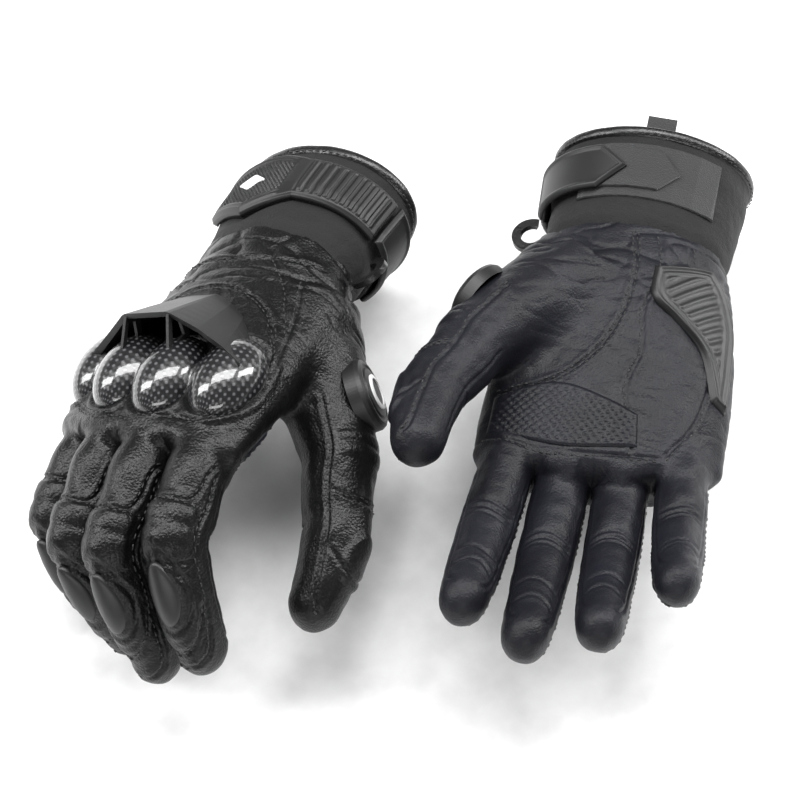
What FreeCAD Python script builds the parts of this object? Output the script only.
"""Two sport riding gloves as shop samples: both for the right hand, one lying back up, one palm up.

Each glove is drawn in a hand frame: +X towards the little finger, +Y towards the fingertips, +Z out of the
back of the hand, origin at the wrist crease. A finger segment is drawn in a frame of its own, with its hinge
at the origin. Placements then bend the fingers and lay the gloves down. Units are millimetres and degrees.
"""

import FreeCAD, Part
import math
import os
import Sketcher
from FreeCAD import Placement, Rotation, Vector

DIMS = {
    # walls and gaps
    "leather": 1.8, "foam": 3.0, "gap": 0.4, "seam_height": -2.0,
    # cuff: its rim, waist and end, as half widths and half heights
    "rim_y": -54.0, "rim_wide": 41.0, "rim_high": 29.0,
    "waist_y": -30.0, "waist_wide": 39.5, "waist_high": 27.5,
    "wrist_y": -6.0, "wrist_wide": 37.5, "wrist_high": 25.0, "wrist_drop": -2.0,
    "binding": 2.5,
    # hand: palm, knuckles and the line of the finger roots
    "palm_y": 32.0, "palm_wide": 44.5, "palm_high": 23.0, "palm_drop": -4.0,
    "knuckle_y": 68.0, "knuckle_wide": 47.0, "knuckle_high": 20.0, "knuckle_drop": -3.0,
    "web_y": 104.0, "web_wide": 46.0, "web_high": 14.5, "web_drop": -3.0,
    "crease_back": 9.0,
    # fingers: common sizes, and how far their hinges lie below the middle of a finger
    "finger_wide": 10.3, "finger_high": 12.0, "finger_taper": 0.93, "tip_taper": 0.84,
    "hinge_drop": -3.0, "root_notch": 34.0, "mid_notch": 42.0, "tip_curve": 18.0,
    # thumb
    "thumb_x": -24.0, "thumb_y": 12.0, "thumb_z": -12.0, "thumb_bone": 54.0,
    "thumb_wide": 12.4, "thumb_high": 12.8, "thenar_start": 21.0, "thenar_end": 15.0, "thumb_notch": 26.0,
    # knuckle guard
    "lobe_wide": 12.6, "lobe_long": 19.5, "lobe_high": 12.5, "guard_wall": 2.2, "lobe_back": 31.0,
    "cowl_wall": 2.6,
    # pads and trim
    "pad_wide": 6.6, "pad_long": 11.5, "pad_high": 6.5, "pad_y": 15.0,
    "puck_radius": 14.0, "puck_high": 6.0, "slider_high": 2.6, "grip_high": 1.2,
    # wrist strap: pile, hooks and the tab lie on each other
    "pile": 1.0, "hook_low": 1.4, "hook_high": 2.4, "strap_high": 4.4, "strap_edge": -6.0,
}

# Name: root x, y, z; spread about Z; roll of the back about Y; lengths to the middle hinge and on to the tip; girth.
FINGERS = {
    "index": (-33.0, 100.0, -5.0, 3.5, -20.0, 27.0, 50.0, 1.00),
    "middle": (-11.0, 104.0, -1.5, 1.0, -6.0, 30.0, 54.0, 1.00),
    "ring": (11.3, 101.0, -2.0, -1.5, 7.0, 28.0, 51.0, 0.98),
    "little": (32.8, 92.0, -7.0, -5.0, 22.0, 23.0, 42.0, 0.92),
}
HINGE_ROLL_SHARE = 0.15  # how much of the back's roll the finger hinges follow

# Each glove at rest: where its X and Y axes point, where its wrist lies on the floor plan, where the thumb
# points and where its back faces in the hand frame, and how far every hinge is bent.
GLOVES = {
    "back_up": {
        "across": (-0.802, 0.286, -0.524), "along": (-0.448, -0.868, 0.212), "place": (-62.0, 20.0),
        "thumb_along": (-0.449, 0.741, -0.500), "thumb_back": (-0.859, -0.512, 0.012),
        "root": {"index": 19, "middle": 21, "ring": 24, "little": 22, "thumb": 14},
        "middle": {"index": 44, "middle": 49, "ring": 53, "little": 50, "thumb": 10},
    },
    "palm_up": {
        "across": (0.970, -0.220, 0.020), "along": (-0.220, -0.970, 0.030), "place": (86.0, 30.0),
        "thumb_along": (-0.520, 0.820, -0.240), "thumb_back": (-0.840, -0.540, 0.050),
        "root": {"index": 7, "middle": 8, "ring": 9, "little": 10, "thumb": 12},
        "middle": {"index": 9, "middle": 11, "ring": 13, "little": 14, "thumb": 12},
    },
}

doc = FreeCAD.newDocument("riding_gloves")
sheet = doc.addObject("Spreadsheet::Sheet", "dims")
for row, (alias, value) in enumerate(DIMS.items(), start=1):
    sheet.set(f"A{row}", alias)
    sheet.set(f"B{row}", str(value))
    sheet.setAlias(f"B{row}", alias)
doc.recompute()

parts = {}  # node name: the document object that makes it
FACETS = 24  # straight edges round each section, so that walls are plain facets
ACROSS = Rotation(Vector(1, 0, 0), 90)  # a section whose long axis lies across the hand
UPRIGHT = Rotation(Vector(0, 0, 1), Vector(1, 0, 0), Vector(0, 1, 0), "XYZ")  # long axis out of the back


def dim(alias):
    return DIMS[alias]


def aimed(first, second, order):
    """A rotation from two of its axes; order names the first axis and then the second."""
    axes = dict(zip(order, (Vector(*first), Vector(*second))))
    return Rotation(axes.get("X", Vector()), axes.get("Y", Vector()), axes.get("Z", Vector()), order + "XYZ".strip(order))


def add(kind, name):
    return doc.addObject(kind, name)


def finish_part(name, obj, place):
    """Makes obj the node called name, at its place in the row frame."""
    obj.Label = name
    obj.Placement = place
    parts[name] = obj
    return obj


def ellipse(name, long_half, short_half, place):
    e = add("Part::Ellipse", name)
    e.setExpression("MajorRadius", long_half)
    e.setExpression("MinorRadius", short_half)
    e.Placement = place
    return e


def faceted(section):
    """The closed outline of a section drawn as short straight edges."""
    section.recompute()
    polygon = add("Part::Feature", section.Name + "_facets")
    polygon.Shape = Part.makePolygon(section.Shape.discretize(Number=FACETS + 1))
    return polygon


def loft(name, sections):
    made = add("Part::Loft", name)
    made.Sections = [faceted(section) for section in sections]
    made.Solid = True
    made.Ruled = True
    return made


def cut(name, base, tool):
    made = add("Part::Cut", name)
    made.Base, made.Tool = base, tool
    made.Refine = False
    return made


def common(name, base, tool):
    made = add("Part::Common", name)
    made.Base, made.Tool = base, tool
    made.Refine = False
    return made


def fuse(name, shapes):
    made = add("Part::MultiFuse", name)
    made.Shapes = shapes
    made.Refine = False
    return made


def box(name, low, high):
    b = add("Part::Box", name)
    b.Length, b.Width, b.Height = (high[k] - low[k] for k in range(3))
    b.Placement.Base = Vector(*low)
    return b


def ring(name, bodies, low, high):
    """The skin between two offsets of the cuff or the hand."""
    return cut(name, bodies(name + "_out", high), bodies(name + "_in", low))


def cuff_solid(name, offset):
    """The cuff's outer form, grown by an offset given as an expression."""
    rows = [("rim", "0 mm"), ("waist", "0 mm"), ("wrist", "dims.wrist_drop * 1 mm")]
    sections = []
    for key, drop in rows:
        e = ellipse(
            f"{name}_{key}", f"(dims.{key}_wide + {offset}) * 1 mm", f"(dims.{key}_high + {offset}) * 1 mm",
            Placement(Vector(0, 0, 0), ACROSS),
        )
        e.setExpression("Placement.Base.y", f"dims.{key}_y * 1 mm")
        e.setExpression("Placement.Base.z", drop)
        sections.append(e)
    return loft(name, sections)


def hand_solid(name, offset):
    """The hand's outer form from the wrist to the finger roots, grown by an offset."""
    sections = []
    for key in ("wrist", "palm", "knuckle", "web"):
        e = ellipse(
            f"{name}_{key}", f"(dims.{key}_wide + {offset}) * 1 mm", f"(dims.{key}_high + {offset}) * 1 mm",
            Placement(Vector(0, 0, 0), ACROSS),
        )
        e.setExpression("Placement.Base.y", f"dims.{key}_y * 1 mm")
        e.setExpression("Placement.Base.z", f"dims.{key}_drop * 1 mm")
        sections.append(e)
    return loft(name, sections)


def outline(name, points, low, high):
    """A PartDesign prism: a closed polygon in the hand's XY plane, padded from z = low to z = high."""
    body = add("PartDesign::Body", name)
    sketch = body.newObject("Sketcher::SketchObject", name + "_sketch")
    plane = next(f for f in body.Origin.OriginFeatures if f.Role == "XY_Plane")
    sketch.AttachmentSupport = [(plane, "")]
    sketch.MapMode = "FlatFace"
    sketch.AttachmentOffset = Placement(Vector(0, 0, low), Rotation())
    corners = [Vector(x, y, 0) for x, y in points]
    count = len(corners)
    sketch.addGeometry([Part.LineSegment(corners[i], corners[(i + 1) % count]) for i in range(count)], False)
    sketch.addConstraint([Sketcher.Constraint("Coincident", i, 2, (i + 1) % count, 1) for i in range(count)])
    pad = body.newObject("PartDesign::Pad", name + "_pad")
    pad.Profile = sketch
    pad.Length = high - low
    body.Tip = pad
    return body


def ellipsoid(name, wide, long, high, place):
    """wide, long and high are half sizes along X, Y and Z, as expressions."""
    e = add("Part::Ellipsoid", name)
    e.setExpression("Radius2", wide)
    e.setExpression("Radius3", long)
    e.setExpression("Radius1", high)
    e.Placement = place
    return e


def lobe(name, wall, place):
    """A knuckle's bulge, built up from ellipses along Y; wall is added to its half sizes."""
    grown = {"0": 0.0, "0.1": 0.1}.get(wall, -dim("guard_wall"))
    sections = []
    for k, t in enumerate((-0.98, -0.88, -0.68, -0.38, 0.0, 0.38, 0.68, 0.88, 0.98)):
        scale = math.sqrt(1 - t * t)
        along = t * (dim("lobe_long") + grown)
        sections.append(ellipse(
            f"{name}_{k}", f"(dims.lobe_wide + {wall}) * {scale} * 1 mm", f"(dims.lobe_high + {wall}) * {scale} * 1 mm",
            place * Placement(Vector(0, along, 0), ACROSS),
        ))
    return loft(name, sections)


def notch(name, at, half_angle, forward):
    """The space that a segment leaves at a hinge: square on the back, sloped on the palm side."""
    reach, side = 60.0, 40.0
    edge = dim("gap") / 2
    y_low, y_high = (-reach, edge) if forward else (-edge, reach)
    boxes = []
    for key, angle in (("square", 0.0), ("slope", half_angle if forward else -half_angle)):
        b = add("Part::Box", f"{name}_{key}")
        b.Length, b.Width, b.Height = 2 * side, y_high - y_low, 2 * side
        turn = Rotation(Vector(1, 0, 0), angle)
        b.Placement = Placement(at, Rotation()) * Placement(Vector(), turn)
        b.Placement = b.Placement * Placement(Vector(-side, y_low, -side), Rotation())
        boxes.append(b)
    # the slope acts on the palm side only, so it is trimmed to below the hinge
    low = box(f"{name}_below", (-side, -2 * reach, -2 * side), (side, 2 * reach, 0))
    low.Placement = Placement(at, Rotation()) * low.Placement
    return fuse(name, [boxes[0], common(f"{name}_lower", boxes[1], low)])


def straight_tube(name, wide, high, length, taper, shrink):
    """An open finger segment's form, from 0 to length, shrunk by the wall where asked."""
    sections = []
    for k, (y, scale) in enumerate(((0.0, 1.0), (length, taper))):
        e = ellipse(
            f"{name}_{k}", f"({high} * {scale} - {shrink}) * 1 mm", f"({wide} * {scale} - {shrink}) * 1 mm",
            Placement(Vector(0, y, 0), UPRIGHT),
        )
        sections.append(e)
    return loft(name, sections)


def tip_form(name, wide, high, length, taper, shrink, start):
    """A fingertip's form: it starts at y = start, curves towards the palm and closes to a blunt end."""
    curve = math.radians(dim("tip_curve"))
    stations = (
        (0.0, taper), (0.35, taper * 0.99), (0.68, dim("tip_taper")), (0.84, 0.77), (0.92, 0.64), (0.97, 0.45),
        (0.99, 0.25),
    )
    sections = []
    for k, (share, scale) in enumerate(stations):
        bend = curve * share
        run = length * share - (shrink_mm(shrink) if share > 0.8 else 0.0)
        centre = Vector(0, run * math.cos(bend / 2), -run * math.sin(bend / 2))
        if k == 0:
            centre.y = start
        turn = Rotation(Vector(1, 0, 0), -math.degrees(bend)) * UPRIGHT
        e = ellipse(
            f"{name}_{k}", f"({high} * {scale} - {shrink}) * 1 mm", f"({wide} * {scale} - {shrink}) * 1 mm",
            Placement(centre, turn),
        )
        sections.append(e)
    return loft(name, sections)


def shrink_mm(shrink):
    return dim("leather") if "leather" in shrink else 0.0


def segment(prefix, hand, frames, name, wide, high, lengths, notches):
    """A finger's or thumb's two leather segments, from its root hinge frame."""
    root_frame, middle_frame = frames
    base_length, tip_length = lengths
    root_notch, mid_notch = notches
    drop = dim("hinge_drop")
    hinge = Vector(0, 0, drop)
    taper = dim("finger_taper")
    out = straight_tube(f"{prefix}{name}_base_out", wide, high, base_length, taper, "0")
    bore = straight_tube(f"{prefix}{name}_base_bore", wide, high, base_length, taper, "dims.leather")
    tube = cut(f"{prefix}{name}_base_tube", out, bore)
    near = notch(f"{prefix}{name}_near", hinge, root_notch, True)
    far = notch(f"{prefix}{name}_far", hinge + Vector(0, base_length, 0), mid_notch, False)
    base = cut(f"{prefix}{name}_base_cut", tube, fuse(f"{prefix}{name}_base_ends", [near, far]))
    finish_part(f"{prefix}{name}_base", base, hand * root_frame)
    out = tip_form(f"{prefix}{name}_tip_out", wide, high, tip_length, taper, "0", 0.0)
    bore = tip_form(f"{prefix}{name}_tip_bore", wide, high, tip_length, taper, "dims.leather", -0.5)
    shell = cut(f"{prefix}{name}_tip_shell", out, bore)
    end = notch(f"{prefix}{name}_tip_near", hinge, mid_notch, True)
    finish_part(f"{prefix}{name}_tip", cut(f"{prefix}{name}_tip_cut", shell, end), hand * middle_frame)
    return out


def bend_about(hinge, flexion):
    """A turn towards the palm about the X axis through a hinge."""
    turn = Placement(Vector(), Rotation(Vector(1, 0, 0), -flexion))
    return Placement(hinge, Rotation()) * turn * Placement(-hinge, Rotation())


def finger_frames(root, spread, hinge_roll, base_length, root_flexion, middle_flexion):
    """The frames of a finger's two segments in the hand frame."""
    hinge = Vector(0, 0, dim("hinge_drop"))
    aim = Rotation(Vector(0, 0, 1), spread) * Rotation(Vector(0, 1, 0), hinge_roll)
    first = Placement(root, aim) * bend_about(hinge, root_flexion)
    second = first * Placement(Vector(0, base_length, 0), Rotation()) * bend_about(hinge, middle_flexion)
    return first, second


def make_hand(prefix, hand, thumb_frame):
    """The leather of the hand in three panels: back, palm and the thumb's root."""
    outer = hand_solid(prefix + "hand_out", "0")
    inner = hand_solid(prefix + "hand_in", "-dims.leather")
    bone, gap = dim("thumb_bone"), dim("gap")
    cones = []
    for key, wall in (("out", "0"), ("bore", "dims.leather")):
        c = add("Part::Cone", f"{prefix}thenar_{key}")
        c.setExpression("Radius1", f"(dims.thenar_start - {wall}) * 1 mm")
        c.setExpression("Radius2", f"(dims.thenar_end - {wall}) * 1 mm")
        c.Height = bone - gap / 2
        c.Placement = thumb_frame * Placement(Vector(), Rotation(Vector(1, 0, 0), -90))
        cones.append(c)
    hinge = thumb_frame * Placement(Vector(0, bone, dim("hinge_drop")), Rotation())
    end = notch(prefix + "thenar_end", Vector(), dim("thumb_notch"), False)
    end.Placement = hinge
    thenar = cut(prefix + "thenar_wall", cones[0], fuse(prefix + "thenar_space", [cones[1], outer, end]))
    finish_part(prefix + "thumb_root_panel", thenar, hand)

    skin = cut(prefix + "hand_skin", outer, fuse(prefix + "hand_space", [inner, cones[1]]))
    wide, far, high = 80.0, 140.0, 60.0
    middle = dim("seam_height")
    above = box(prefix + "above", (-wide, -20, middle), (wide, far, high))
    below = box(prefix + "below", (-wide, -20, -high), (wide, far, middle))
    edges = [-wide, -22.0, 0.1, 22.1, wide]
    for name, side, setback in (("back_panel", above, 0.0), ("palm_panel", below, dim("crease_back"))):
        steps = []
        for k, root in enumerate(FINGERS.values()):
            near = root[1] - gap / 2 - setback
            steps.append(box(f"{prefix}{name}_step{k}", (edges[k], near, -high), (edges[k + 1], far, high)))
        half = common(f"{prefix}{name}_half", skin, side)
        panel = cut(f"{prefix}{name}_cut", half, fuse(f"{prefix}{name}_steps", steps))
        finish_part(prefix + name, panel, hand)
    return outer, cones[0]


def make_guard(prefix, hand, hand_outer):
    """The hard knuckle guard, one lobe to a knuckle, and the faceted cowl over its rear."""
    lobes = {"out": [], "bore": [], "clear": []}
    for name, (x, y, z, spread, roll, *_rest) in FINGERS.items():
        lift = dim("knuckle_high") * math.sqrt(1 - (x / dim("knuckle_wide")) ** 2) + dim("knuckle_drop") - 3.0
        place = Placement(Vector(x, y - dim("lobe_back"), lift), Rotation(Vector(0, 1, 0), roll))
        for key, wall in (("out", "0"), ("bore", "-dims.guard_wall"), ("clear", "0.1")):
            lobes[key].append(lobe(f"{prefix}lobe_{name}_{key}", wall, place))
    shell = fuse(prefix + "guard_out", lobes["out"])
    # one cut with all its tools together: a chain of Cut features fails on these nearly touching surfaces
    doc.recompute()
    guard = add("Part::Feature", prefix + "guard_shell")
    guard.Shape = shell.Shape.cut([*(bore.Shape for bore in lobes["bore"]), hand_outer.Shape])
    finish_part(prefix + "knuckle_guard", guard, hand)

    cowl = add("PartDesign::Body", prefix + "cowl_body")
    plane = next(f for f in cowl.Origin.OriginFeatures if f.Role == "XZ_Plane")
    wall = dim("cowl_wall")
    # stations along Y: the roof's corners from the index side to the little finger's side
    stations = (
        (34.0, ((-20, 13), (-12, 20), (6, 20), (16, 14))),
        (50.0, ((-37, 13), (-14, 28), (8, 28), (32, 13))),
        (66.0, ((-45, 15), (-13, 34), (9, 34), (41, 15))),
    )
    sketches = []
    for k, (y, roof) in enumerate(stations):
        s = cowl.newObject("Sketcher::SketchObject", f"{prefix}cowl_section{k}")
        s.AttachmentSupport = [(plane, "")]
        s.MapMode = "FlatFace"
        s.AttachmentOffset = Placement(Vector(0, 0, -y), Rotation())
        under = [(x * 0.94, z - wall * 1.15) for x, z in reversed(roof)]
        corners = [Vector(x, z, 0) for x, z in [*roof, *under]]
        count = len(corners)
        s.addGeometry([Part.LineSegment(corners[i], corners[(i + 1) % count]) for i in range(count)], False)
        s.addConstraint([Sketcher.Constraint("Coincident", i, 2, (i + 1) % count, 1) for i in range(count)])
        sketches.append(s)
    roofing = cowl.newObject("PartDesign::AdditiveLoft", prefix + "cowl_loft")
    roofing.Profile = sketches[0]
    roofing.Sections = sketches[1:]
    roofing.Ruled = True
    cowl.Tip = roofing
    intake = outline(prefix + "intake", [(-9, 58), (5, 58), (9, 80), (-13, 80)], 20, 50)
    space = fuse(prefix + "cowl_space", lobes["clear"] + [hand_outer, intake])
    finish_part(prefix + "guard_cowl", cut(prefix + "cowl_cut", cowl, space), hand)


def make_thumb_puck(prefix, hand, thumb_frame, thenar):
    """The round slider on the thumb's root: a turned disc with a ring groove."""
    puck = add("PartDesign::Body", prefix + "puck_body")
    plane = next(f for f in puck.Origin.OriginFeatures if f.Role == "XZ_Plane")
    s = puck.newObject("Sketcher::SketchObject", prefix + "puck_section")
    s.AttachmentSupport = [(plane, "")]
    s.MapMode = "FlatFace"
    radius, high = dim("puck_radius"), dim("puck_high")
    low = -8.0
    profile = [
        (0, low), (radius, low), (radius, high * 0.35), (radius * 0.86, high * 0.8), (radius * 0.8, high * 0.8),
        (radius * 0.77, high * 0.66), (radius * 0.72, high * 0.66), (radius * 0.69, high * 0.86),
        (radius * 0.3, high), (0, high),
    ]
    corners = [Vector(x, z, 0) for x, z in profile]
    count = len(corners)
    s.addGeometry([Part.LineSegment(corners[i], corners[(i + 1) % count]) for i in range(count)], False)
    s.addConstraint([Sketcher.Constraint("Coincident", i, 2, (i + 1) % count, 1) for i in range(count)])
    turned = puck.newObject("PartDesign::Revolution", prefix + "puck_turned")
    turned.Profile = s
    turned.ReferenceAxis = (s, ["V_Axis"])
    turned.Angle = 360
    puck.Tip = turned
    puck.Placement = thumb_frame * Placement(Vector(0, dim("thumb_bone") - 17, 17.5), Rotation())
    finish_part(prefix + "thumb_slider", cut(prefix + "puck_cut", puck, thenar), hand)


def make_palm_pads(prefix, hand, hand_outer, thenar):
    """The moulded slider on the heel of the palm and the grip patch below the fingers."""
    slider_outline = [(6, 8), (36, 2), (50, 22), (50, 66), (40, 62), (30, 38), (9, 26)]
    grip_outline = [(-44, 72), (-20, 66), (12, 74), (14, 88), (-10, 93), (-44, 90)]
    for name, points, high in (
        ("palm_slider", slider_outline, "dims.slider_high"), ("grip_patch", grip_outline, "dims.grip_high"),
    ):
        skin = cut(f"{prefix}{name}_skin", hand_solid(f"{prefix}{name}_form", high), hand_outer)
        prism = outline(f"{prefix}{name}_outline", points, -60, dim("seam_height") - 4)
        pad = common(f"{prefix}{name}_pad", skin, prism)
        finish_part(prefix + name, cut(f"{prefix}{name}_cut", pad, thenar), hand)


def rim_cord(name):
    """An eight-sided cord along the cuff's rim, as the space between an outer and an inner form."""
    thick = dim("binding")
    flat = thick * 0.4
    forms = []
    for side in (1, -1):
        sections = []
        for k, (along, out) in enumerate(((-thick, flat), (-flat, thick), (flat, thick), (thick, flat))):
            sections.append(ellipse(
                f"{name}_{'out' if side > 0 else 'in'}_{k}",
                f"(dims.rim_wide - dims.foam / 2 + {side * out}) * 1 mm",
                f"(dims.rim_high - dims.foam / 2 + {side * out}) * 1 mm",
                Placement(Vector(0, dim("rim_y") - thick + along, 0), ACROSS),
            ))
        forms.append(loft(f"{name}_{'out' if side > 0 else 'in'}", sections))
    return cut(name, *forms)


def make_cuff(prefix, hand, hand_outer):
    """The foam cuff with its bound rim, the strap round it and the tab that closes on the palm side."""
    outer = cuff_solid(prefix + "cuff_out", "0")
    inner = cuff_solid(prefix + "cuff_in", "-dims.foam")
    finish_part(prefix + "cuff", cut(prefix + "cuff_wall", outer, inner), hand)

    finish_part(prefix + "cuff_binding", rim_cord(prefix + "rim"), hand)

    edge, tall = dim("strap_edge"), 70.0
    panel = [(33, -46), (36, -22), (8, -14), (-8, -21), (-60, -24), (-60, -46), (-10, -49)]
    strap = ring(prefix + "strap_skin", cuff_solid, "0", "dims.strap_high")
    dorsal = outline(prefix + "strap_outline", panel, edge, tall)
    finish_part(prefix + "wrist_strap", common(prefix + "strap_cut", strap, dorsal), hand)

    low = edge - dim("gap")
    tab_outline = [(-60, -46), (4, -46), (16, -35), (4, -24), (-60, -24)]
    tab = ring(prefix + "tab_skin", cuff_solid, "dims.hook_high", "dims.strap_high")
    tab_prism = outline(prefix + "tab_outline", tab_outline, -tall, low)
    finish_part(prefix + "strap_tab", common(prefix + "tab_cut", tab, tab_prism), hand)
    hooks = ring(prefix + "hook_skin", cuff_solid, "dims.hook_low", "dims.hook_high")
    hook_prism = outline(prefix + "hook_outline", [(-24, -44), (3, -44), (11, -35), (3, -26), (-24, -26)], -tall, low)
    finish_part(prefix + "hook_patch", common(prefix + "hook_cut", hooks, hook_prism), hand)
    pile = ring(prefix + "pile_skin", cuff_solid, "0", "dims.pile")
    pile_prism = outline(prefix + "pile_outline", [(-28, -48), (27, -48), (27, -22), (-28, -22)], -tall, low)
    finish_part(prefix + "loop_patch", common(prefix + "pile_cut", pile, pile_prism), hand)

    # the pull loop stands out of the cuff's thumb side, just below the strap
    pull = add("PartDesign::Body", prefix + "pull_body")
    plane = next(f for f in pull.Origin.OriginFeatures if f.Role == "XY_Plane")
    s = pull.newObject("Sketcher::SketchObject", prefix + "pull_section")
    s.AttachmentSupport = [(plane, "")]
    s.MapMode = "FlatFace"
    for half_wide, half_long in ((9.0, 10.0), (5.0, 7.2)):
        first = s.GeometryCount
        corner = half_wide * 0.9
        a, b = half_wide, half_long
        arc = Part.ArcOfEllipse(Part.Ellipse(Vector(0, 0, 0), max(a, b), min(a, b)), 0, 2 * math.pi)
        s.addGeometry(Part.Circle(Vector(0, 0, 0), Vector(0, 0, 1), corner), False)
        s.addConstraint(Sketcher.Constraint("Radius", first, corner))
    band = pull.newObject("PartDesign::Pad", prefix + "pull_band")
    band.Profile = s
    band.Length = 2.4
    pull.Tip = band
    pull.Placement = Placement(Vector(-dim("wrist_wide") - 6.5, -11.5, -5.2), Rotation(Vector(0, 1, 0), 12))
    clear = fuse(prefix + "pull_clear", [outer, hand_outer, strap, tab])
    finish_part(prefix + "pull_loop", cut(prefix + "pull_cut", pull, clear), hand)

    height = dim("foam") - dim("rim_high")
    tag = box(prefix + "tag_plate", (-6, -66, height), (6, -42, height + 1.6))
    wall = cut(prefix + "tag_wall", outer, inner)
    inside = cut(prefix + "tag_inside", tag, wall)
    finish_part(prefix + "size_tag", cut(prefix + "tag_cut", inside, rim_cord(prefix + "tag_rim")), hand)


def make_fingers(prefix, pose, hand, thumb_frame):
    for name, (x, y, z, spread, roll, base_length, tip_length, girth) in FINGERS.items():
        frames = finger_frames(
            Vector(x, y, z), spread, roll * HINGE_ROLL_SHARE, base_length,
            pose["root"][name], pose["middle"][name],
        )
        wide, high = f"dims.finger_wide * {girth}", f"dims.finger_high * {girth}"
        notches = (dim("root_notch"), dim("mid_notch"))
        form = segment(prefix, hand, frames, name, wide, high, (base_length, tip_length), notches)
        at = Vector(0, dim("pad_y"), dim("finger_high") * girth * dim("finger_taper") - 4.0)
        knuckle = ellipsoid(
            f"{prefix}{name}_pad_form", "dims.pad_wide * 1 mm", "dims.pad_long * 1 mm", "dims.pad_high * 1 mm",
            Placement(at, Rotation(Vector(1, 0, 0), -5)),
        )
        finish_part(f"{prefix}{name}_pad", cut(f"{prefix}{name}_pad_cut", knuckle, form), hand * frames[1])
    hinge = Vector(0, 0, dim("hinge_drop"))
    first = thumb_frame * Placement(Vector(0, dim("thumb_bone"), 0), Rotation())
    first = first * bend_about(hinge, pose["root"]["thumb"])
    lengths = (32.0, 38.0)
    second = first * Placement(Vector(0, lengths[0], 0), Rotation()) * bend_about(hinge, pose["middle"]["thumb"])
    notches = (dim("thumb_notch"), dim("mid_notch"))
    segment(prefix, hand, (first, second), "thumb", "dims.thumb_wide", "dims.thumb_high", lengths, notches)


def make_glove(name, pose):
    prefix = name + "_"
    hand = Placement(Vector(*pose["place"], 0), aimed(pose["along"], pose["across"], "YX"))
    thumb_start = Vector(dim("thumb_x"), dim("thumb_y"), dim("thumb_z"))
    thumb_frame = Placement(thumb_start, aimed(pose["thumb_along"], pose["thumb_back"], "YZ"))
    hand_outer, thenar = make_hand(prefix, hand, thumb_frame)
    make_guard(prefix, hand, hand_outer)
    make_thumb_puck(prefix, hand, thumb_frame, thenar)
    make_palm_pads(prefix, hand, hand_outer, thenar)
    make_cuff(prefix, hand, hand_outer)
    make_fingers(prefix, pose, hand, thumb_frame)


def box_of(nodes):
    bounds = FreeCAD.BoundBox()
    for node in nodes:
        bounds.add(parts[node].Shape.optimalBoundingBox(True, False))
    return bounds




def shift(nodes, by):
    for node in nodes:
        placement = parts[node].Placement
        placement.Base = placement.Base + by
        parts[node].Placement = placement


for glove_name, glove_pose in GLOVES.items():
    make_glove(glove_name, glove_pose)
doc.recompute()

# both gloves rest on the floor, with the pair centred on the origin
for glove_name in GLOVES:
    own = [node for node in parts if node.startswith(glove_name)]
    shift(own, Vector(0, 0, -box_of(own).ZMin))
pair = box_of(parts)
shift(parts, Vector(-pair.Center.x, -pair.Center.y, 0))
doc.recompute()
print("pair of gloves:", box_of(parts))

failed = [o.Name for o in doc.Objects if "Invalid" in o.State or "Error" in o.State]
if failed:
    raise RuntimeError(f"these objects failed: {failed}")
os.makedirs("parts", exist_ok=True)
for node, obj in parts.items():
    shape = obj.Shape
    if shape.isNull() or not shape.isValid() or not shape.Solids:
        raise RuntimeError(f"{node} has no valid solid")
    shape.exportStep(f"parts/{node}.step")
    print(node, len(shape.Solids), round(shape.Volume))
